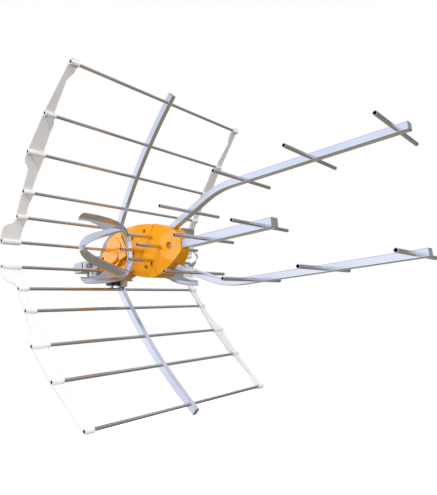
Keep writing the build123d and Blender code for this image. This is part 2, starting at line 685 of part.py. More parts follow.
with BuildPart() as rear_shell:
    add(rear_form.part)
    # oval bosses on both sides
    for boss in bosses:
        add(boss.part)
    # the bare field stands out, with a slope below it
    add(field_pads.part)
    add(rear_cavity.part, mode=Mode.SUBTRACT)
    # open back
    with BuildSketch(Plane.XZ):
        with BuildLine():
            Polyline(*shifted([(x - 9, z) for x, z in REAR_SIDE[1:14]] + [(x + 4, z * 0.93) for x, z in reversed(REAR_SIDE[2:13])]), close=True)
        make_face()
    extrude(amount=REAR_HALF - 2.4, both=True, mode=Mode.SUBTRACT)
    # front opening for the carrier
    with BuildSketch(Plane.YZ.offset(130)):
        with Locations((0, AZ)):
            RectangleRounded(2 * CARRIER_HALF, 2 * CARRIER_Z, 3)
    extrude(amount=20, mode=Mode.SUBTRACT)
    add(reflector_holes.part, mode=Mode.SUBTRACT)
    add(spar_form.part, mode=Mode.SUBTRACT)
    add(lower_spar_form.part, mode=Mode.SUBTRACT)
    # seats and holes of the two side screws
    for side in (1, -1):
        with BuildSketch(Plane.XZ.offset(side * 10.0)):
            with Locations(hx(*REAR_SCREW)):
                Circle(7.4)
                Circle(2.0, mode=Mode.SUBTRACT)
        extrude(amount=side * (REAR_HALF - 12.0))
        with BuildSketch(Plane.XZ.offset(side * (REAR_HALF - 12.0))):
            with Locations(hx(*REAR_SCREW)):
                Circle(5.6)
        extrude(amount=side * 15.0, mode=Mode.SUBTRACT)
        with BuildSketch(Plane.XZ.offset(side * 10.0)):
            with Locations(hx(*REAR_SCREW)):
                Circle(2.0)
        extrude(amount=side * 30.0, mode=Mode.SUBTRACT)
rear_shell.part.label = "rear_shell"

with BuildPart() as plate_cavity:
    with BuildSketch(Plane.XZ):
        with BuildLine():
            Polyline(*shifted(PLATE_SIDE), close=True)
        make_face()
        offset(amount=-2.4, kind=Kind.INTERSECTION)
    extrude(amount=PLATE_HALF - 2.4, both=True)

with BuildPart() as back_plate:
    with BuildSketch(Plane.XZ):
        with BuildLine():
            Polyline(*shifted(PLATE_SIDE), close=True)
        make_face()
    extrude(amount=PLATE_HALF, both=True)
    chamfer(back_plate.edges().filter_by(lambda e: abs(abs(e.center().Y) - PLATE_HALF) < 0.01
                                         and e.center().X < 107), 1.5)
    add(plate_cavity.part, mode=Mode.SUBTRACT)
    # the part of the tray that the rear shell fills
    with BuildSketch(Plane.XZ):
        with BuildLine():
            Polyline(*shifted(REAR_SIDE), close=True)
        make_face()
    extrude(amount=REAR_HALF + 5, both=True, mode=Mode.SUBTRACT)
    # sockets that hold the feet of the two spars
    for flip in (1, -1):
        with BuildSketch(Plane.XZ):
            with BuildLine():
                Polyline(*[hx(x, flip * z) for x, z in SOCKET], close=True)
            make_face()
        extrude(amount=9.5, both=True)
    add(spar_form.part, mode=Mode.SUBTRACT)
    add(lower_spar_form.part, mode=Mode.SUBTRACT)
    add(reflector_holes.part, mode=Mode.SUBTRACT)
back_plate_full = back_plate.part

# wedges that lock the spars in their sockets, round at the free end
with BuildPart() as spar_wedges:
    for flip in (1, -1):
        with BuildSketch(Plane.XZ):
            with BuildLine():
                Polyline(*[hx(x, flip * z) for x, z in ((99.3, 40), (99.3, 50), (96.0, 53), (99.5, 63), (103.0, 66.2), (107.5, 66.4), (112.0, 63.5), (111.8, 50.5), (104, 50.5), (104, 40))], close=True)
            make_face()
        extrude(amount=4.5, both=True)
    add(rear_form.part, mode=Mode.SUBTRACT)
    add(spar_form.part, mode=Mode.SUBTRACT)
    add(lower_spar_form.part, mode=Mode.SUBTRACT)
spar_wedges.part.label = "spar_wedges"

with BuildPart() as back_plate:
    add(back_plate_full)
    add(spar_wedges.part, mode=Mode.SUBTRACT)
back_plate.part.label = "back_plate"

# the shell leaves room for the sockets of the plate
with BuildPart() as rear_shell_open:
    add(rear_shell.part)
    add(back_plate.part, mode=Mode.SUBTRACT)
rear_shell_open.part.label = "rear_shell"

# carrier of the dipole: a neck between the two halves of the housing, with an
# arm on each side that clasps the terminals
with BuildPart() as dipole_carrier:
    with BuildSketch(Plane.YZ.offset(136.6)):
        with Locations((0, AZ)):
            RectangleRounded(2 * CARRIER_HALF, 2 * CARRIER_Z, 3)
    extrude(amount=39.4)
    for side in (1, -1):
        with BuildSketch(Plane.XZ.offset(side * (CARRIER_HALF - 1))):
            with BuildLine():
                Polyline(*shifted([(147, 9), (170, 7), (170, -7), (147, -13)]), close=True)
            make_face()
        extrude(amount=side * 31.0)
        # stay from the arm up the side of the rear shell
        with BuildSketch(Plane.XZ.offset(side * 30.6)):
            with BuildLine():
                Polyline(*shifted([(128, 47), (141, 46), (162, 8.5), (150, 8.5), (141.5, 28), (134, 38)]), close=True)
            make_face()
        extrude(amount=side * 3.0)
    with BuildSketch(Plane.YZ.offset(130)):
        with Locations((0, AZ)):
            RectangleRounded(2 * CARRIER_HALF - 4.8, 2 * CARRIER_Z - 4.8, 1.5)
    extrude(amount=60, mode=Mode.SUBTRACT)
    # slots for the terminals and pilot holes for their screws
    for side in (1, -1):
        with BuildSketch(Plane.XY.offset(AZ - 5)):
            with BuildLine():
                Polyline(*[(x, side * y) for x, y in TAB], close=True)
            make_face()
        extrude(amount=10, mode=Mode.SUBTRACT)
        with BuildSketch(Plane.YZ.offset(156.0)):
            with Locations((side * 36, AZ)):
                Circle(2.0)
        extrude(amount=20, mode=Mode.SUBTRACT)
        with BuildSketch(Plane.YZ.offset(164.3)):
            with Locations((side * 36, AZ)):
                Circle(3.6)
        extrude(amount=20, mode=Mode.SUBTRACT)
dipole_carrier.part.label = "dipole_carrier"

# ------------------------------------------------------------ dipole
# stations across each formed strip, from the upper end to the lower end:
# outer front edge and inner rear edge, as (distance along Y, height)
BOW_REAR_X = 182.0
BOW_DEPTH = 6.2       # the outer edge lies this far in front of the inner
BOW_LIP = 3.6         # flat along the inner edge
BOW_RIM = 2.3         # the outer edge is turned forward by this much
BOW_OUT = [(172, 70.6), (154, 71.0), (136, 70.6), (120, 69.5), (104, 67.7), (89, 65.0), (77, 62.0), (69, 58.6),
           (61.5, 53.8), (55.5, 48.0), (50.5, 41.0), (46.8, 33.0), (44.4, 23.0), (43.0, 12.0)]
BOW_IN = [(172, 57.0), (154, 57.0), (134, 56.6), (117, 55.6), (101, 54.2), (86, 52.4), (75.5, 50.8), (69.5, 49.2),
          (65.0, 46.6), (62.0, 43.0), (59.6, 37.5), (56.4, 29.3), (52.9, 19.5), (50.2, 9.5)]
LOOP_REAR_X = 183.0
LOOP_CREASE = 5.0     # the crease stands this far in front of the outer edge
LOOP_INNER = 10.6     # and the inner edge this far
LOOP_OUT = [(62, 56.0), (75, 53.3), (88, 49.7), (100, 45.4), (112.4, 41.4), (126, 37.6), (138, 34.0), (150, 28.6), (161, 22.0), (168.7, 14.5), (172.6, 7.0), (173.9, 0)]
LOOP_IN = [(61, 41.2), (72, 39.9), (84, 37.0), (95.2, 33.0), (107, 29.4), (119.8, 25.6), (131.5, 21.2), (142.3, 17.0), (152.5, 12.4), (160.8, 7.6), (166.2, 3.6), (168.2, 0)]
LOOP_PART = [0.70, 0.70, 0.72, 0.72, 0.72, 0.74, 0.77, 0.74, 0.71, 0.71, 0.70, 0.74]     # place of the crease
DIP_T = 1.6


def stations(out, inn):
    """Mirror a list of stations that ends on the middle plane or near it."""
    low = [(y, -z) for y, z in reversed(out)], [(y, -z) for y, z in reversed(inn)]
    if out[-1][1] == 0:
        return out + low[0][1:], inn + low[1][1:]
    return out + low[0], inn + low[1]


def section_plane(o, i, x):
    d = sqrt((i[0] - o[0]) ** 2 + (i[1] - o[1]) ** 2)
    vy, vz = -(i[0] - o[0]) / d, (i[1] - o[1]) / d
    return Plane(origin=(x, -o[0], o[1] + AZ), x_dir=(0, vy, vz), z_dir=(0, vz, -vy)), d


bow_out, bow_in = stations(BOW_OUT, BOW_IN)
with BuildPart() as bow_strip:
    for o, i in zip(bow_out, bow_in):
        plane, d = section_plane(o, i, BOW_REAR_X)
        lip = min(BOW_LIP, 0.3 * d)
        with BuildSketch(plane):
            with BuildLine():
                Polyline((0, BOW_DEPTH + BOW_RIM), (1.2, BOW_DEPTH + BOW_RIM), (1.5, BOW_DEPTH - 0.4), (d - lip, 0.5), (d, 0.5),
                         (d, 0.5 - DIP_T), (d - lip - 0.6, 0.5 - DIP_T), (0, BOW_DEPTH - 1.8), close=True)
            make_face()
    loft(ruled=True)

loop_out, loop_in = stations(LOOP_OUT, LOOP_IN)
loop_part = LOOP_PART + LOOP_PART[-2::-1]
with BuildPart() as loop_strip:
    for o, i, t in zip(loop_out, loop_in, loop_part):
        plane, w = section_plane(o, i, LOOP_REAR_X)
        with BuildSketch(plane):
            with BuildLine():
                Polyline((0, 0), (t * w, LOOP_CREASE), (w - 0.4, LOOP_INNER), (w + 0.9, LOOP_INNER - 0.4),
                         (t * w + 1.3, LOOP_CREASE - 0.9), (0.6, -DIP_T), close=True)
            make_face()
    loft(ruled=True)

with BuildPart() as dipole_right:
    add(bow_strip.part)
    add(loop_strip.part)
    # webs in the two crotches
    for flip in (1, -1):
        with BuildSketch(Plane.YZ.offset(BOW_REAR_X - 1.0)):
            with BuildLine():
                Polyline(*[(-y, AZ + flip * z) for y, z in (
                    (153, 58.5), (139, 54.9), (126.7, 51.8), (119.3, 48.4), (112.5, 43.5), (112.5, 39.5), (100, 43.0), (88, 47.0),
                    (78, 48.5), (66, 46.0), (62, 52), (70, 56), (86, 55), (101, 56.5), (120, 58), (140, 59))], close=True)
            make_face()
        extrude(amount=1.5)
        # two ribs pressed into the web
        with BuildSketch(Plane.YZ.offset(BOW_REAR_X)):
            with BuildLine():
                Polyline(*[(-y, AZ + flip * z) for y, z in ((128, 54.6), (100, 50.2), (84, 50.8), (100, 51.8))], close=True)
            make_face()
            with BuildLine():
                Polyline(*[(-y, AZ + flip * z) for y, z in ((116, 48.4), (98, 46.8), (88, 49.2), (99, 48.2))], close=True)
            make_face()
        extrude(amount=1.1)
        # rounded outer corner of the arm
        with BuildSketch(Plane.YZ.offset(BOW_REAR_X - 6)):
            with BuildLine():
                Polyline(*[(-y, AZ + flip * z) for y, z in ((160.5, 76), (160.5, 71.4), (164.8, 70.2), (168.2, 67.4), (170.6, 63.6), (171.8, 58.0), (180, 58.0), (180, 76))], close=True)
            make_face()
        extrude(amount=20, mode=Mode.SUBTRACT)
    # terminal: a tab that runs back beside the housing and into the carrier
    with BuildSketch(Plane.XY.offset(AZ - 5)):
        with BuildLine():
            Polyline(*TAB, close=True)
        make_face()
    extrude(amount=10)
    with BuildSketch(Plane.YZ.offset(160)):
        with Locations((-36, AZ)):
            Circle(2.0)
    extrude(amount=10, mode=Mode.SUBTRACT)
dipole_right.part.label = "dipole_right"

with BuildPart() as dipole_left:
    mirror(dipole_right.part, about=Plane.XZ)
dipole_left.part.label = "dipole_left"

# ------------------------------------------------------------ inside the housing
with BuildPart() as amplifier_board:
    with BuildSketch(Plane.XY.offset(AZ - 9.0)):
        with Locations((133, 0)):
            Rectangle(66, 2 * CARRIER_HALF - 4.8)
    extrude(amount=1.6)
amplifier_board.part.label = "amplifier_board"

with BuildPart() as screening_can:
    with BuildSketch(Plane.XY.offset(AZ - 9.0)):
        with Locations((126, 0)):
            RectangleRounded(44, 24, 1)
    extrude(amount=-9.0)
    with BuildSketch(Plane.XY.offset(AZ - 9.0)):
        with Locations((126, 0)):
            RectangleRounded(43, 23, 0.6)
    extrude(amount=-8.5, mode=Mode.SUBTRACT)
screening_can.part.label = "screening_can"

# cradle that holds the rear ends of the three booms inside the cap
with BuildPart() as boom_cradle:
    with BuildSketch(Plane.XZ):
        with BuildLine():
            Polyline(*both([(283, 29.0), (268, 40.5), (266, 40.5), (266, 12), (283, 12)]), close=True)
        make_face()
    extrude(amount=12.5, both=True)
    add(boom_form.part, mode=Mode.SUBTRACT)
    add(lower_boom_form.part, mode=Mode.SUBTRACT)
    add(middle_form.part, mode=Mode.SUBTRACT)
    add(cap_bosses.part, mode=Mode.SUBTRACT)
boom_cradle.part.label = "boom_cradle"

# ------------------------------------------------------------ cable connection
CONN_X, CONN_Y = 82.0, -18.0
PLUG_X, PLUG_Y = 95.5, -14.5
BLOCK_Z = -60.5       # underside of the block
THREAD_R = 4.76
THREAD_L = 8.0
with BuildPart() as connector_block:
    with BuildSketch(Plane.XZ.offset(9.0)):
        with BuildLine():
            Polyline(*shifted([(75, -38), (71.5, -47), (71.5, -53.5), (75.5, BLOCK_Z), (88, BLOCK_Z), (89.5, BLOCK_Z + 2), (89.5, -54.6),
                                (102, -54.6), (102, -48), (92, -40)]), close=True)
        make_face()
    extrude(amount=18.0)
    with BuildSketch(Plane.XZ):
        with BuildLine():
            Polyline(*shifted(PLATE_SIDE), close=True)
        make_face()
    extrude(amount=60, both=True, mode=Mode.SUBTRACT)
    add(rear_form.part, mode=Mode.SUBTRACT)
    with BuildSketch(Plane.XY.offset(AZ - 54)):
        with Locations((CONN_X, CONN_Y)):
            Circle(THREAD_R + 0.8)
    extrude(amount=-20, mode=Mode.SUBTRACT)
connector_block.part.label = "connector_block"

with BuildPart() as f_connector:
    with BuildSketch(Plane.XY.offset(AZ - 54)):
        with Locations((CONN_X, CONN_Y)):
            Circle(THREAD_R + 0.8)
    extrude(amount=54 + BLOCK_Z)
    with BuildSketch(Plane.XY.offset(AZ + BLOCK_Z)):
        with Locations((CONN_X, CONN_Y)):
            Circle(THREAD_R)
    extrude(amount=-THREAD_L)
    chamfer(f_connector.faces().sort_by(Axis.Z)[0].edges(), 0.6)
    with BuildSketch(Plane.XY.offset(AZ + BLOCK_Z - THREAD_L)):
        with Locations((CONN_X, CONN_Y)):
            Circle(1.1)
    extrude(amount=12.0, mode=Mode.SUBTRACT)
f_connector.part.label = "f_connector"

with BuildPart() as blanking_plug:
    with BuildSketch(Plane.XY.offset(AZ - 54.6)):
        with Locations((PLUG_X, PLUG_Y)):
            Circle(4.4)
    extrude(amount=-7.4)
    fillet(blanking_plug.faces().sort_by(Axis.Z)[0].edges(), 1.2)
blanking_plug.part.label = "blanking_plug"

# ------------------------------------------------------------ screws


def cross_recess(origin, z_dir, size, depth):
    """Cross cut into a screw head whose top faces z_dir."""
    with BuildPart() as cross:
        with BuildSketch(Plane(origin=origin, z_dir=z_dir)):
            Rectangle(size, size * 0.26)
            Rectangle(size * 0.26, size)
        extrude(amount=-depth)
    return cross.part


with BuildPart() as shell_screws:
    for side in (1, -1):
        for z in SCREW_Z:
            with BuildSketch(Plane.XZ.offset(side * SCREW_Y)):
                with Locations(hx(SCREW_X, z)):
                    Circle(3.9)
            extrude(amount=side * 2.4)
            with BuildSketch(Plane.XZ.offset(side * 14.0)):
                with Locations(hx(SCREW_X, z)):
                    Circle(2.0)
            extrude(amount=side * (SCREW_Y - 14.0))
    for side in (1, -1):
        for z in SCREW_Z:
            add(cross_recess((SCREW_X, -side * (SCREW_Y + 2.4), AZ + z), (0, -side, 0), 4.4, 1.4), mode=Mode.SUBTRACT)
shell_screws.part.label = "shell_screws"

with BuildPart() as cover_screws:
    for side in (1, -1):
        with BuildSketch(Plane.XZ.offset(side * NOSE_Y)):
            with Locations(hx(NOSE_X, 0)):
                Circle(4.2)
        extrude(amount=side * 2.6)
        with BuildSketch(Plane.XZ.offset(side * 6.0)):
            with Locations(hx(NOSE_X, 0)):
                Circle(2.0)
        extrude(amount=side * (NOSE_Y - 6.0))
        with BuildSketch(Plane.XZ.offset(side * (REAR_HALF - 12.0))):
            with Locations(hx(*REAR_SCREW)):
                Circle(3.8)
        extrude(amount=side * 2.6)
        with BuildSketch(Plane.XZ.offset(side * 12.0)):
            with Locations(hx(*REAR_SCREW)):
                Circle(2.0)
        extrude(amount=side * (REAR_HALF - 24.0))
    for side in (1, -1):
        add(cross_recess((NOSE_X, -side * (NOSE_Y + 2.6), AZ), (0, -side, 0), 5.0, 1.5), mode=Mode.SUBTRACT)
        add(cross_recess((REAR_SCREW[0], -side * (REAR_HALF - 9.4), AZ + REAR_SCREW[1]), (0, -side, 0), 5.0, 1.5), mode=Mode.SUBTRACT)
cover_screws.part.label = "cover_screws"

with BuildPart() as terminal_screws:
    for side in (1, -1):
        with BuildSketch(Plane.YZ.offset(164.3)):
            with Locations((-side * 36, AZ)):
                Circle(3.4)
        extrude(amount=2.0)
        with BuildSketch(Plane.YZ.offset(156.0)):
            with Locations((-side * 36, AZ)):
                Circle(2.0)
        extrude(amount=8.3)
terminal_screws.part.label = "terminal_screws"

# ------------------------------------------------------------ mast clamp
JAW_PLAN = [(2.5, 38), (10, 38), (30, 21), (44, 19), (44, -19), (30, -21), (10, -38), (2.5, -38)]
REAR_PLAN = [(-2.5, 38), (-40, 35), (-40, -35), (-2.5, -38)]
LINER_T = 2.4
LINER_H = 48.0
JAW_BACK = -40.0
WASHER_T = 1.2
NUT_H = 5.0
BOLT_END = -56.0

with BuildPart() as front_jaw:
    with BuildSketch(Plane.XY.offset(-JAW_H / 2)):
        with BuildLine():
            Polyline(*JAW_PLAN, close=True)
        make_face()
    extrude(amount=JAW_H)
    # the depth of the jaw shrinks towards the housing
    with BuildSketch(Plane.XZ):
        with BuildLine():
            Polyline((11, -JAW_H / 2 - 1), (44.5, -4.5), (44.5, -JAW_H / 2 - 1), close=True)
        make_face()
        with BuildLine():
            Polyline((11, JAW_H / 2 + 1), (44.5, 7.5), (44.5, JAW_H / 2 + 1), close=True)
        make_face()
    extrude(amount=60, both=True, mode=Mode.SUBTRACT)
    with BuildSketch(Plane.XY.offset(-30)):
        Circle(MAST_R + LINER_T)
    extrude(amount=60, mode=Mode.SUBTRACT)
    # pocket behind the mast seat
    with BuildSketch(Plane.XY.offset(-JAW_H / 2 + 3)):
        with Locations((34.5, 0)):
            RectangleRounded(13, 30, 2)
    extrude(amount=30, mode=Mode.SUBTRACT)
    for y in (BOLT_Y, -BOLT_Y):
        with BuildSketch(Plane.YZ.offset(12)):
            with Locations((y, 0)):
                Circle(6.6)
        extrude(amount=30, mode=Mode.SUBTRACT)
        with BuildSketch(Plane.YZ.offset(-5)):
            with Locations((y, 0)):
                Circle(BOLT_D / 2)
        extrude(amount=30, mode=Mode.SUBTRACT)
front_jaw.part.label = "front_jaw"

with BuildPart() as clamp_bracket:
    with BuildSketch(Plane.YZ.offset(44)):
        with Locations((0, 1.5)):
            RectangleRounded(34, 11.5, 1.5)
    extrude(amount=8)
clamp_bracket.part.label = "clamp_bracket"

with BuildPart() as rear_jaw:
    with BuildSketch(Plane.XY.offset(-JAW_H / 2)):
        with BuildLine():
            Polyline(*REAR_PLAN, close=True)
        make_face()
    extrude(amount=JAW_H)
    fillet(rear_jaw.edges().filter_by(Axis.Z).group_by(Axis.X)[0], 3)
    with BuildSketch(Plane.XY.offset(-30)):
        Circle(MAST_R + LINER_T)
    extrude(amount=60, mode=Mode.SUBTRACT)
    with BuildSketch(Plane.XY.offset(-JAW_H / 2 + 3)):
        with Locations((-31.5, 0)):
            RectangleRounded(11, 40, 2)
    extrude(amount=30, mode=Mode.SUBTRACT)
    for y in (BOLT_Y, -BOLT_Y):
        with BuildSketch(Plane.YZ.offset(-60)):
            with Locations((y, 0)):
                Circle(BOLT_D / 2 + 0.3)
        extrude(amount=70, mode=Mode.SUBTRACT)
rear_jaw.part.label = "rear_jaw"

# toothed liners that grip the mast, standing out above and below the jaws
with BuildPart() as front_liner:
    with BuildSketch(Plane.XY.offset(-LINER_H / 2)):
        Circle(MAST_R + LINER_T)
        Circle(MAST_R, mode=Mode.SUBTRACT)
        with Locations((-27, 0)):
            Rectangle(61, 61, mode=Mode.SUBTRACT)
    extrude(amount=LINER_H)
    for a in (-56, -28, 0, 28, 56):
        for low in (-LINER_H / 2 + 3.0, JAW_H / 2 + 2.5):
            with BuildSketch(Plane(origin=(0, 0, low), x_dir=(cos(radians(a)), sin(radians(a)), 0), z_dir=(0, 0, 1))):
                with Locations((MAST_R + 1, 0)):
                    Rectangle(8, 3.4)
            extrude(amount=6.0, mode=Mode.SUBTRACT)
front_liner.part.label = "front_liner"

with BuildPart() as rear_liner:
    mirror(front_liner.part, about=Plane.YZ)
rear_liner.part.label = "rear_liner"

with BuildPart() as clamp_bolts:
    for y in (BOLT_Y, -BOLT_Y):
        with BuildSketch(Plane.YZ.offset(BOLT_END)):
            with Locations((y, 0)):
                Circle(BOLT_D / 2)
        extrude(amount=12 - BOLT_END)
        with BuildSketch(Plane.YZ.offset(12)):
            with Locations((y, 0)):
                RegularPolygon(5.75, 6)
        extrude(amount=4)
    chamfer(clamp_bolts.edges().filter_by(GeomType.CIRCLE).group_by(Axis.X)[0], 0.5)
clamp_bolts.part.label = "clamp_bolts"

with BuildPart() as clamp_washers:
    with BuildSketch(Plane.YZ.offset(JAW_BACK - WASHER_T)):
        with Locations((BOLT_Y, 0), (-BOLT_Y, 0)):
            Circle(6.0)
            Circle(BOLT_D / 2 + 0.3, mode=Mode.SUBTRACT)
    extrude(amount=WASHER_T)
clamp_washers.part.label = "clamp_washers"

nuts = []
for name, y in (("left_clamp_nut", BOLT_Y), ("right_clamp_nut", -BOLT_Y)):
    with BuildPart() as nut:
        with BuildSketch(Plane.YZ.offset(JAW_BACK - WASHER_T - 0.1 - NUT_H)):
            with Locations((y, 0)):
                RegularPolygon(5.75, 6)
                Circle(BOLT_D / 2 + 0.06, mode=Mode.SUBTRACT)
        extrude(amount=NUT_H)
    nut.part.label = name
    nuts.append(nut)

# holes in the middle boom for the nose screws
with BuildPart() as middle_boom_drilled:
    add(middle_boom.part)
    with BuildSketch(Plane.XZ):
        with Locations(hx(NOSE_X, 0)):
            Circle(2.0)
    extrude(amount=30, both=True, mode=Mode.SUBTRACT)
middle_boom_drilled.part.label = "middle_boom"

parts = [
    upper_boom, lower_boom, middle_boom_drilled, outer_boom_plugs, middle_boom_plug,
    upper_spar, lower_spar, spar_plugs, spar_wedges,
    strip_upper_right, strip_upper_left, strip_lower_right, strip_lower_left,
    front_cap, mid_shell, rear_shell_open, back_plate, dipole_carrier, dipole_right, dipole_left,
    amplifier_board, screening_can, boom_cradle, connector_block, f_connector, blanking_plug,
    shell_screws, cover_screws, terminal_screws,
    front_jaw, clamp_bracket, rear_jaw, front_liner, rear_liner, clamp_bolts, clamp_washers]
parts = parts + nuts + list(rods.values())

for p in parts:
    export_step(p.part, "parts/%s.step" % p.part.label)
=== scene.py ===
import json
import math

import bpy
import bmesh
from mathutils import Matrix, Vector

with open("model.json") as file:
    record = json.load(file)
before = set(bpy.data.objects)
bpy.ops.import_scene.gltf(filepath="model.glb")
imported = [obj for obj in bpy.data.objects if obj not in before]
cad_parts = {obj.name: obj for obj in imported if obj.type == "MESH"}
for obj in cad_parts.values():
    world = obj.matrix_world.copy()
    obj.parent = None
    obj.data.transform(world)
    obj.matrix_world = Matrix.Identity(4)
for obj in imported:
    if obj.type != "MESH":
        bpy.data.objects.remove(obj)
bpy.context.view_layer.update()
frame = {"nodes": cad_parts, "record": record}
scene = bpy.context.scene
nodes = frame["nodes"]

# ------------------------------------------------------------------ camera
# Pinhole at the photograph's viewpoint: focal length 473 px in a frame of
# 437 x 495 px, looking about 10 degrees up from the right-hand front.
right = Vector((0.75086836, 0.65549999, -0.08072466))
down = Vector((-0.1730122, 0.07726484, -0.98188437))
ahead = Vector((-0.63738802, 0.75123226, 0.17142522))
cam_data = bpy.data.cameras.new("camera")
cam_data.sensor_width = 36.0
cam_data.lens = 472.954 * 36.0 / 495.0
cam_data.shift_x = (218.5 - 201.643) / 495.0
cam_data.shift_y = (244.709 - 247.5) / 495.0
cam_data.clip_start = 0.01
cam_data.clip_end = 60.0
cam = bpy.data.objects.new("camera", cam_data)
scene.collection.objects.link(cam)
cam.matrix_world = Matrix((
    (right.x, -down.x, -ahead.x, 0.954808),
    (right.y, -down.y, -ahead.y, -0.712635),
    (right.z, -down.z, -ahead.z, -0.167275),
    (0.0, 0.0, 0.0, 1.0)))
scene.camera = cam

# ------------------------------------------------------------------ stage
scene.view_settings.view_transform = "Standard"
scene.view_settings.look = "None"
scene.view_settings.exposure = 0.0
scene.view_settings.gamma = 1.0

# White behind the antenna. What lights it is a pale dome over a brown-grey
# ground: brightest towards the viewer's left, duller ahead of the antenna.
world = bpy.data.worlds.new("studio")
scene.world = world
world.use_nodes = True
wt = world.node_tree
wt.nodes.clear()


def w_node(kind, **values):
    n = wt.nodes.new(kind)
    for k, v in values.items():
        setattr(n, k, v)
    return n


def w_ramp(value, lo, hi, stops):
    m = w_node("ShaderNodeMapRange")
    m.inputs["From Min"].default_value = lo
    m.inputs["From Max"].default_value = hi
    wt.links.new(value, m.inputs["Value"])
    r = w_node("ShaderNodeValToRGB")
    ramp = r.color_ramp
    ramp.interpolation = "EASE"
    ramp.elements[0].position = (stops[0][0] - lo) / (hi - lo)
    ramp.elements[0].color = (*stops[0][1], 1.0)
    ramp.elements[1].position = (stops[-1][0] - lo) / (hi - lo)
    ramp.elements[1].color = (*stops[-1][1], 1.0)
    for at, col in stops[1:-1]:
        e = ramp.elements.new((at - lo) / (hi - lo))
        e.color = (*col, 1.0)
    wt.links.new(m.outputs["Result"], r.inputs["Fac"])
    return r.outputs["Color"]


def w_towards(direction, lo, hi):
    """1 in the direction, 0 outside a cone round it."""
    d = w_node("ShaderNodeVectorMath", operation="DOT_PRODUCT")
    v = Vector(direction).normalized()
    d.inputs[1].default_value = (v.x, v.y, v.z)
    wt.links.new(w_coord.outputs["Generated"], d.inputs[0])
    m = w_node("ShaderNodeMapRange", interpolation_type="SMOOTHSTEP")
    m.inputs["From Min"].default_value = lo
    m.inputs["From Max"].default_value = hi
    wt.links.new(d.outputs["Value"], m.inputs["Value"])
    return m.outputs["Result"]


def w_mix_colour(fac, a, b):
    m = w_node("ShaderNodeMix", data_type="RGBA")
    wt.links.new(fac, m.inputs["Factor"])
    for sock, v in ((m.inputs[6], a), (m.inputs[7], b)):
        if isinstance(v, tuple):
            sock.default_value = (*v, 1.0)
        else:
            wt.links.new(v, sock)
    return m.outputs[2]


w_coord = w_node("ShaderNodeTexCoord")
w_sep = w_node("ShaderNodeSeparateXYZ")
w_path = w_node("ShaderNodeLightPath")
wt.links.new(w_coord.outputs["Generated"], w_sep.inputs[0])
bright = w_ramp(w_sep.outputs["Z"], -1.0, 1.0, (
    (-1.0, (0.150, 0.125, 0.090)), (-0.80, (0.210, 0.180, 0.125)), (-0.60, (0.280, 0.240, 0.165)),
    (-0.30, (0.345, 0.300, 0.205)), (-0.06, (0.430, 0.375, 0.290)), (0.02, (0.740, 0.770, 0.870)),
    (0.15, (0.840, 0.890, 1.000)), (0.60, (0.800, 0.830, 0.950)), (1.0, (0.720, 0.740, 0.830))))
dull = w_ramp(w_sep.outputs["Z"], -1.0, 1.0, (
    (-1.0, (0.150, 0.125, 0.090)), (-0.60, (0.285, 0.245, 0.165)), (-0.30, (0.300, 0.265, 0.200)),
    (-0.08, (0.330, 0.310, 0.290)), (0.10, (0.410, 0.410, 0.430)), (0.35, (0.500, 0.500, 0.550)),
    (0.60, (0.590, 0.595, 0.650)), (0.80, (0.680, 0.690, 0.760)), (1.0, (0.720, 0.740, 0.830))))
near = w_ramp(w_sep.outputs["Z"], -1.0, 1.0, (
    (-1.0, (0.150, 0.125, 0.090)), (-0.60, (0.180, 0.160, 0.120)), (-0.42, (0.300, 0.290, 0.280)),
    (-0.20, (0.780, 0.820, 0.930)), (0.05, (0.980, 1.000, 1.100)), (0.30, (0.930, 0.980, 1.140)),
    (0.46, (0.700, 0.740, 0.870)), (0.62, (0.280, 0.290, 0.330)), (1.0, (0.50, 0.52, 0.60))))
dome = w_mix_colour(w_towards((0.84, 0.54, 0.0), 0.25, 0.75), bright, dull)
dome = w_mix_colour(w_towards((-0.42, -0.90, 0.0), 0.15, 0.70), dome, near)
dome = w_mix_colour(w_towards((0.42, 0.88, 0.16), 0.93, 0.985), dome, (0.16, 0.19, 0.26))
w_mirror = w_node("ShaderNodeBackground")
w_mirror.inputs["Strength"].default_value = 1.0
wt.links.new(dome, w_mirror.inputs["Color"])
# soft light for the matt surfaces
soft = w_ramp(w_sep.outputs["Z"], -1.0, 1.0, (
    (-1.0, (0.13, 0.11, 0.085)), (-0.30, (0.38, 0.355, 0.32)), (0.0, (0.84, 0.85, 0.89)), (1.0, (0.91, 0.94, 1.01))))
w_soft = w_node("ShaderNodeBackground")
w_soft.inputs["Strength"].default_value = 1.0
wt.links.new(soft, w_soft.inputs["Color"])
w_white = w_node("ShaderNodeBackground")
w_white.inputs["Color"].default_value = (1.0, 1.0, 1.0, 1.0)
w_white.inputs["Strength"].default_value = 1.0
w_pick = w_node("ShaderNodeMixShader")
wt.links.new(w_path.outputs["Is Glossy Ray"], w_pick.inputs["Fac"])
wt.links.new(w_soft.outputs[0], w_pick.inputs[1])
wt.links.new(w_mirror.outputs[0], w_pick.inputs[2])
w_mix = w_node("ShaderNodeMixShader")
wt.links.new(w_path.outputs["Is Camera Ray"], w_mix.inputs["Fac"])
wt.links.new(w_pick.outputs[0], w_mix.inputs[1])
wt.links.new(w_white.outputs[0], w_mix.inputs[2])
w_out = w_node("ShaderNodeOutputWorld")
wt.links.new(w_mix.outputs[0], w_out.inputs["Surface"])


def area_light(name, place, target, size, power, colour=(1.0, 1.0, 1.0)):
    data = bpy.data.lights.new(name, "AREA")
    data.shape = "DISK"
    data.size = size
    data.energy = power
    data.color = colour
    obj = bpy.data.objects.new(name, data)
    scene.collection.objects.link(obj)
    obj.location = place
    obj.rotation_mode = "QUATERNION"
    obj.rotation_quaternion = (Vector(target) - Vector(place)).to_track_quat("-Z", "Y")
    obj.visible_camera = False
    obj.visible_glossy = False
    return obj


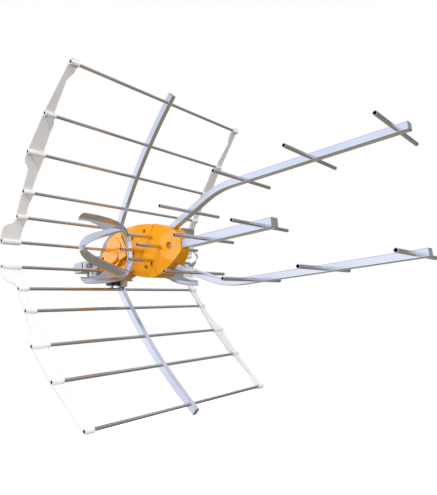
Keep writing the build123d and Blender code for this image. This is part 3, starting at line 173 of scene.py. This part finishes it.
area_light("key", (1.6, -2.0, 1.9), (0.25, 0.0, 0.0), 1.8, 42.0, (1.0, 0.99, 0.97))
area_light("fill", (2.7, -1.7, -0.45), (0.2, 0.0, 0.0), 1.8, 29.0, (1.0, 0.99, 0.98))
area_light("rim", (-1.8, 1.2, 1.8), (0.2, 0.0, 0.0), 1.6, 26.0, (0.93, 0.96, 1.0))

# two small panels that only give the glossy plastic its pale sheen
glossy_plastic = bpy.data.collections.new("glossy_plastic")
for part in ("front_cap", "mid_shell", "rear_shell", "dipole_carrier"):
    glossy_plastic.objects.link(nodes[part])
for name, place, target, wide, high, power in (
        ("sheen_nose", (0.156, -1.0, 0.17), (0.286, -0.018, 0.0), 0.36, 0.36, 1.3),
        ("sheen_side", (-0.42, -0.5, 0.16), (0.14, -0.03, 0.02), 0.36, 0.20, 0.9)):
    panel = area_light(name, place, target, wide, power)
    panel.data.shape = "ELLIPSE"
    panel.data.size_y = high
    panel.data.diffuse_factor = 0.0
    panel.visible_glossy = True
    panel.light_linking.receiver_collection = glossy_plastic

# floor, well below, because the antenna hangs on a mast
floor_mesh = bpy.data.meshes.new("floor")
bm = bmesh.new()
bmesh.ops.create_circle(bm, cap_ends=True, radius=9.0, segments=96)
bm.to_mesh(floor_mesh)
bm.free()
floor = bpy.data.objects.new("floor", floor_mesh)
floor.location = (0.2, 0.0, -1.5)
scene.collection.objects.link(floor)
floor.visible_glossy = False
floor.visible_diffuse = False
floor_mat = bpy.data.materials.new("floor_pale")
floor_mat.use_nodes = True
fb = floor_mat.node_tree.nodes["Principled BSDF"]
fb.inputs["Base Color"].default_value = (0.9, 0.9, 0.9, 1.0)
fb.inputs["Roughness"].default_value = 0.8
fb.inputs["Emission Color"].default_value = (1.0, 1.0, 1.0, 1.0)
fb.inputs["Emission Strength"].default_value = 0.75
floor_mesh.materials.append(floor_mat)


# ------------------------------------------------------------------ materials
class Shader:
    """Small helper round one node material."""

    def __init__(self, name):
        self.mat = bpy.data.materials.new(name)
        self.mat.use_nodes = True
        self.t = self.mat.node_tree
        self.bsdf = self.t.nodes["Principled BSDF"]
        self.coord = self.t.nodes.new("ShaderNodeTexCoord")

    def node(self, kind, **values):
        n = self.t.nodes.new(kind)
        for k, v in values.items():
            setattr(n, k, v)
        return n

    def link(self, a, b):
        self.t.links.new(a, b)

    def set(self, name, value):
        self.bsdf.inputs[name].default_value = value

    def mapping(self, scale):
        m = self.node("ShaderNodeMapping")
        m.inputs["Scale"].default_value = scale
        self.link(self.coord.outputs["Object"], m.inputs["Vector"])
        return m.outputs["Vector"]

    def noise(self, scale, stretch=(1.0, 1.0, 1.0), detail=3.0, rough=0.5):
        n = self.node("ShaderNodeTexNoise")
        n.inputs["Scale"].default_value = scale
        n.inputs["Detail"].default_value = detail
        n.inputs["Roughness"].default_value = rough
        self.link(self.mapping(stretch), n.inputs["Vector"])
        return n.outputs["Fac"]

    def remap(self, value, lo, hi, out_lo, out_hi):
        m = self.node("ShaderNodeMapRange")
        m.inputs["From Min"].default_value = lo
        m.inputs["From Max"].default_value = hi
        m.inputs["To Min"].default_value = out_lo
        m.inputs["To Max"].default_value = out_hi
        self.link(value, m.inputs["Value"])
        return m.outputs["Result"]

    def mix_colour(self, fac, a, b):
        m = self.node("ShaderNodeMix", data_type="RGBA")
        self.link(fac, m.inputs["Factor"])
        for sock, v in ((m.inputs[6], a), (m.inputs[7], b)):
            if isinstance(v, tuple):
                sock.default_value = (*v, 1.0)
            else:
                self.link(v, sock)
        return m.outputs[2]

    def bump(self, height, strength, distance, under=None):
        b = self.node("ShaderNodeBump")
        b.inputs["Strength"].default_value = strength
        b.inputs["Distance"].default_value = distance
        self.link(height, b.inputs["Height"])
        if under is not None:
            self.link(under, b.inputs["Normal"])
        return b.outputs["Normal"]

    def edge_wear(self, lo=0.52, hi=0.62):
        g = self.node("ShaderNodeNewGeometry")
        return self.remap(g.outputs["Pointiness"], lo, hi, 0.0, 1.0)


def metal(name, light, dark, streak, rough=(0.18, 0.30), bump=0.04, anis=0.0):
    """Aluminium with drawing lines along the stretched axis of streak."""
    s = Shader(name)
    lines = s.noise(60.0, streak, 4.0, 0.6)
    cloud = s.noise(9.0, (1.0, 1.0, 1.0), 3.0, 0.5)
    base = s.mix_colour(s.remap(cloud, 0.35, 0.65, 0.0, 1.0), dark, light)
    worn = s.mix_colour(s.remap(lines, 0.3, 0.75, 0.0, 0.25), base, tuple(min(1.0, c * 1.12) for c in light))
    s.link(worn, s.bsdf.inputs["Base Color"])
    s.link(s.remap(lines, 0.25, 0.75, rough[0], rough[1]), s.bsdf.inputs["Roughness"])
    s.set("Metallic", 1.0)
    s.set("Anisotropic", anis)
    s.link(s.bump(lines, bump, 0.0004), s.bsdf.inputs["Normal"])
    return s.mat


boom_metal = metal("boom_aluminium", (0.79, 0.82, 0.88), (0.73, 0.76, 0.82), (0.12, 6.0, 6.0), (0.14, 0.24))
rod_metal = metal("rod_aluminium", (0.70, 0.70, 0.715), (0.60, 0.60, 0.61), (6.0, 0.12, 6.0), (0.12, 0.22))
dipole_metal = metal("dipole_aluminium", (0.80, 0.83, 0.90), (0.72, 0.75, 0.82), (2.0, 2.0, 2.0), (0.14, 0.26))
cast_metal = metal("clamp_casting", (0.74, 0.76, 0.79), (0.64, 0.66, 0.69), (3.0, 3.0, 3.0), (0.38, 0.55), 0.25)
steel = metal("clamp_steel", (0.70, 0.71, 0.73), (0.58, 0.60, 0.62), (4.0, 4.0, 4.0), (0.26, 0.42), 0.15)
screw_metal = metal("zinc_screw", (0.86, 0.87, 0.90), (0.76, 0.78, 0.80), (5.0, 5.0, 5.0), (0.20, 0.34), 0.06)
nickel = metal("nickel_thread", (0.66, 0.65, 0.62), (0.56, 0.55, 0.53), (4.0, 4.0, 4.0), (0.2, 0.34), 0.08)
tin = metal("tinned_steel", (0.74, 0.74, 0.72), (0.62, 0.62, 0.60), (3.0, 3.0, 3.0), (0.25, 0.4), 0.08)


def plastic(name, light, dark, rough=(0.30, 0.42), grain=900.0, bump=0.05, coat=0.0, sub=0.0, sub_colour=None, ior=1.5):
    s = Shader(name)
    cloud = s.noise(14.0, (1.0, 1.0, 1.0), 3.0, 0.5)
    fine = s.noise(grain, (1.0, 1.0, 1.0), 2.0, 0.5)
    base = s.mix_colour(s.remap(cloud, 0.35, 0.65, 0.0, 1.0), dark, light)
    s.link(base, s.bsdf.inputs["Base Color"])
    s.link(s.remap(cloud, 0.3, 0.7, rough[0], rough[1]), s.bsdf.inputs["Roughness"])
    s.link(s.bump(fine, bump, 0.0003), s.bsdf.inputs["Normal"])
    s.set("IOR", ior)
    if coat:
        s.set("Coat Weight", coat)
        s.set("Coat Roughness", 0.12)
    if sub:
        s.set("Subsurface Weight", sub)
        s.set("Subsurface Radius", sub_colour)
        s.set("Subsurface Scale", 0.004)
    return s.mat


orange = plastic("housing_orange", (0.82, 0.319, 0.0003), (0.78, 0.299, 0.0002), (0.18, 0.28), 700.0, 0.04,
                 sub=0.10, sub_colour=(1.0, 0.35, 0.06), ior=1.36)
white_strip = plastic("strip_white", (0.83, 0.825, 0.82), (0.78, 0.775, 0.77), (0.42, 0.55), 1200.0, 0.015)
grey_plug = plastic("plug_grey", (0.245, 0.245, 0.26), (0.21, 0.21, 0.225), (0.40, 0.55), 1200.0, 0.08)
grey_plate = plastic("plate_grey", (0.42, 0.45, 0.47), (0.36, 0.39, 0.41), (0.38, 0.50), 1000.0, 0.07)
beige = plastic("wedge_beige", (0.50, 0.42, 0.33), (0.42, 0.35, 0.27), (0.40, 0.52), 1000.0, 0.06)
black = plastic("connector_black", (0.030, 0.031, 0.034), (0.020, 0.020, 0.023), (0.34, 0.48), 900.0, 0.08)
board = plastic("board_green", (0.06, 0.22, 0.09), (0.04, 0.17, 0.07), (0.30, 0.4), 600.0, 0.05)

by_slot = {
    "boom_aluminium": boom_metal, "rod_aluminium": rod_metal, "dipole_aluminium": dipole_metal,
    "plug_plastic": grey_plug, "strip_plastic": white_strip, "housing_plastic": orange,
    "plate_plastic": grey_plate, "wedge_plastic": beige, "black_plastic": black,
    "board_laminate": board, "tinned_steel": tin, "plated_brass": nickel,
    "zinc_screw": screw_metal, "clamp_casting": cast_metal, "clamp_steel": steel,
}
slot_of = {p["node"]: p["material_slot"] for p in frame["record"]["subparts"]}
for name, obj in nodes.items():
    mat = by_slot[slot_of[name]]
    if not obj.material_slots:
        obj.data.materials.append(mat)
    for s in obj.material_slots:
        s.material = mat
